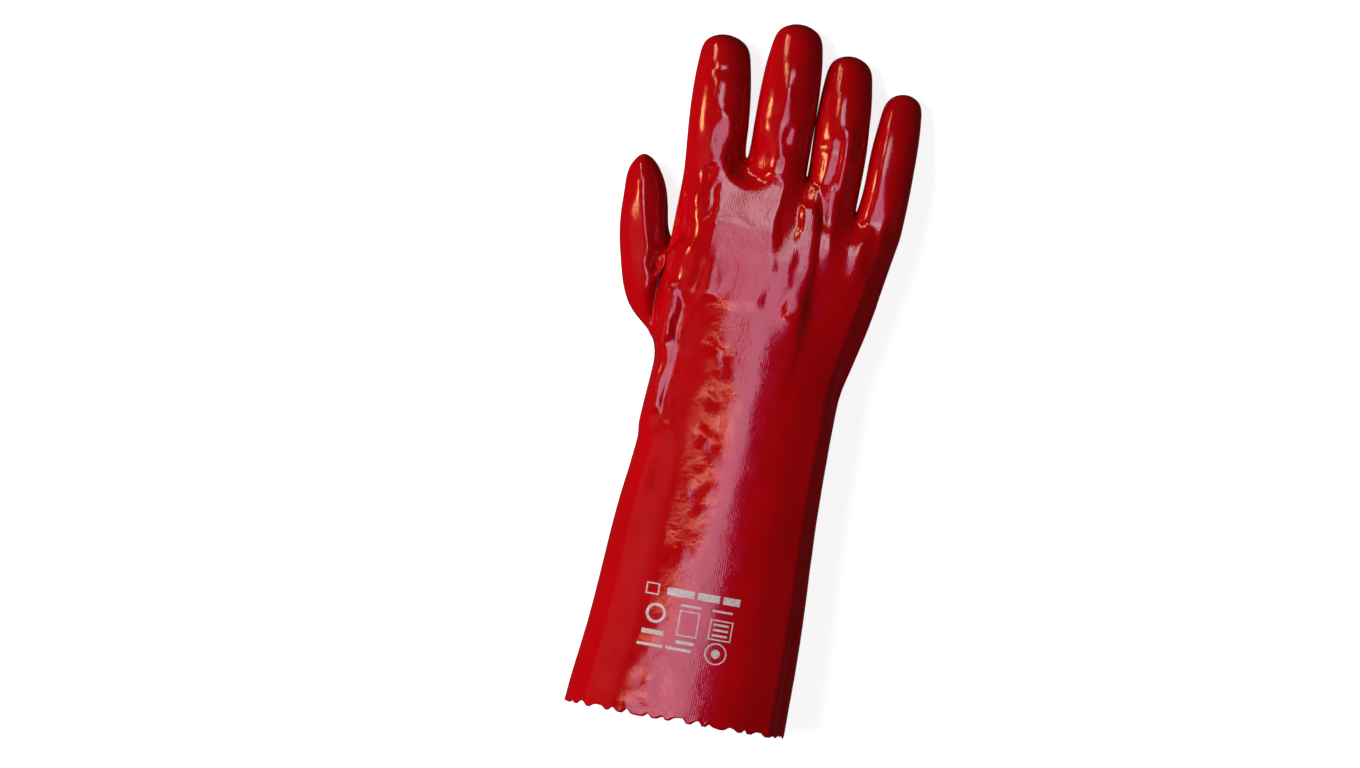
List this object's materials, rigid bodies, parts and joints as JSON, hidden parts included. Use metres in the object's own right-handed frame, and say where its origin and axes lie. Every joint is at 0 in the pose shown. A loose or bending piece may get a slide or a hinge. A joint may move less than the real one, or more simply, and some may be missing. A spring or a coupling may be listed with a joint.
{
  "type": "pvc coated work glove",
  "caption": "Long hollow work glove for the right hand, with a pinked gauntlet rim, fingers and thumb, lying palm down.",
  "frame": {"origin": "on the surface that the glove lies on, under the middle of its box", "axes": "+Y from the gauntlet's rim to the fingertips, +X to the little finger, +Z from the palm to the back of the hand"},
  "size_m": [0.1606, 0.4008, 0.0564],
  "materials": {
    "red_pvc": "glossy dipped pvc over cotton knit",
    "cotton_knit": "bare knitted inner face",
    "white_print": "thin matte ink"
  },
  "bodies": {
    "root": {"glove_shell": "red_pvc"}
  },
  "joints": []
}
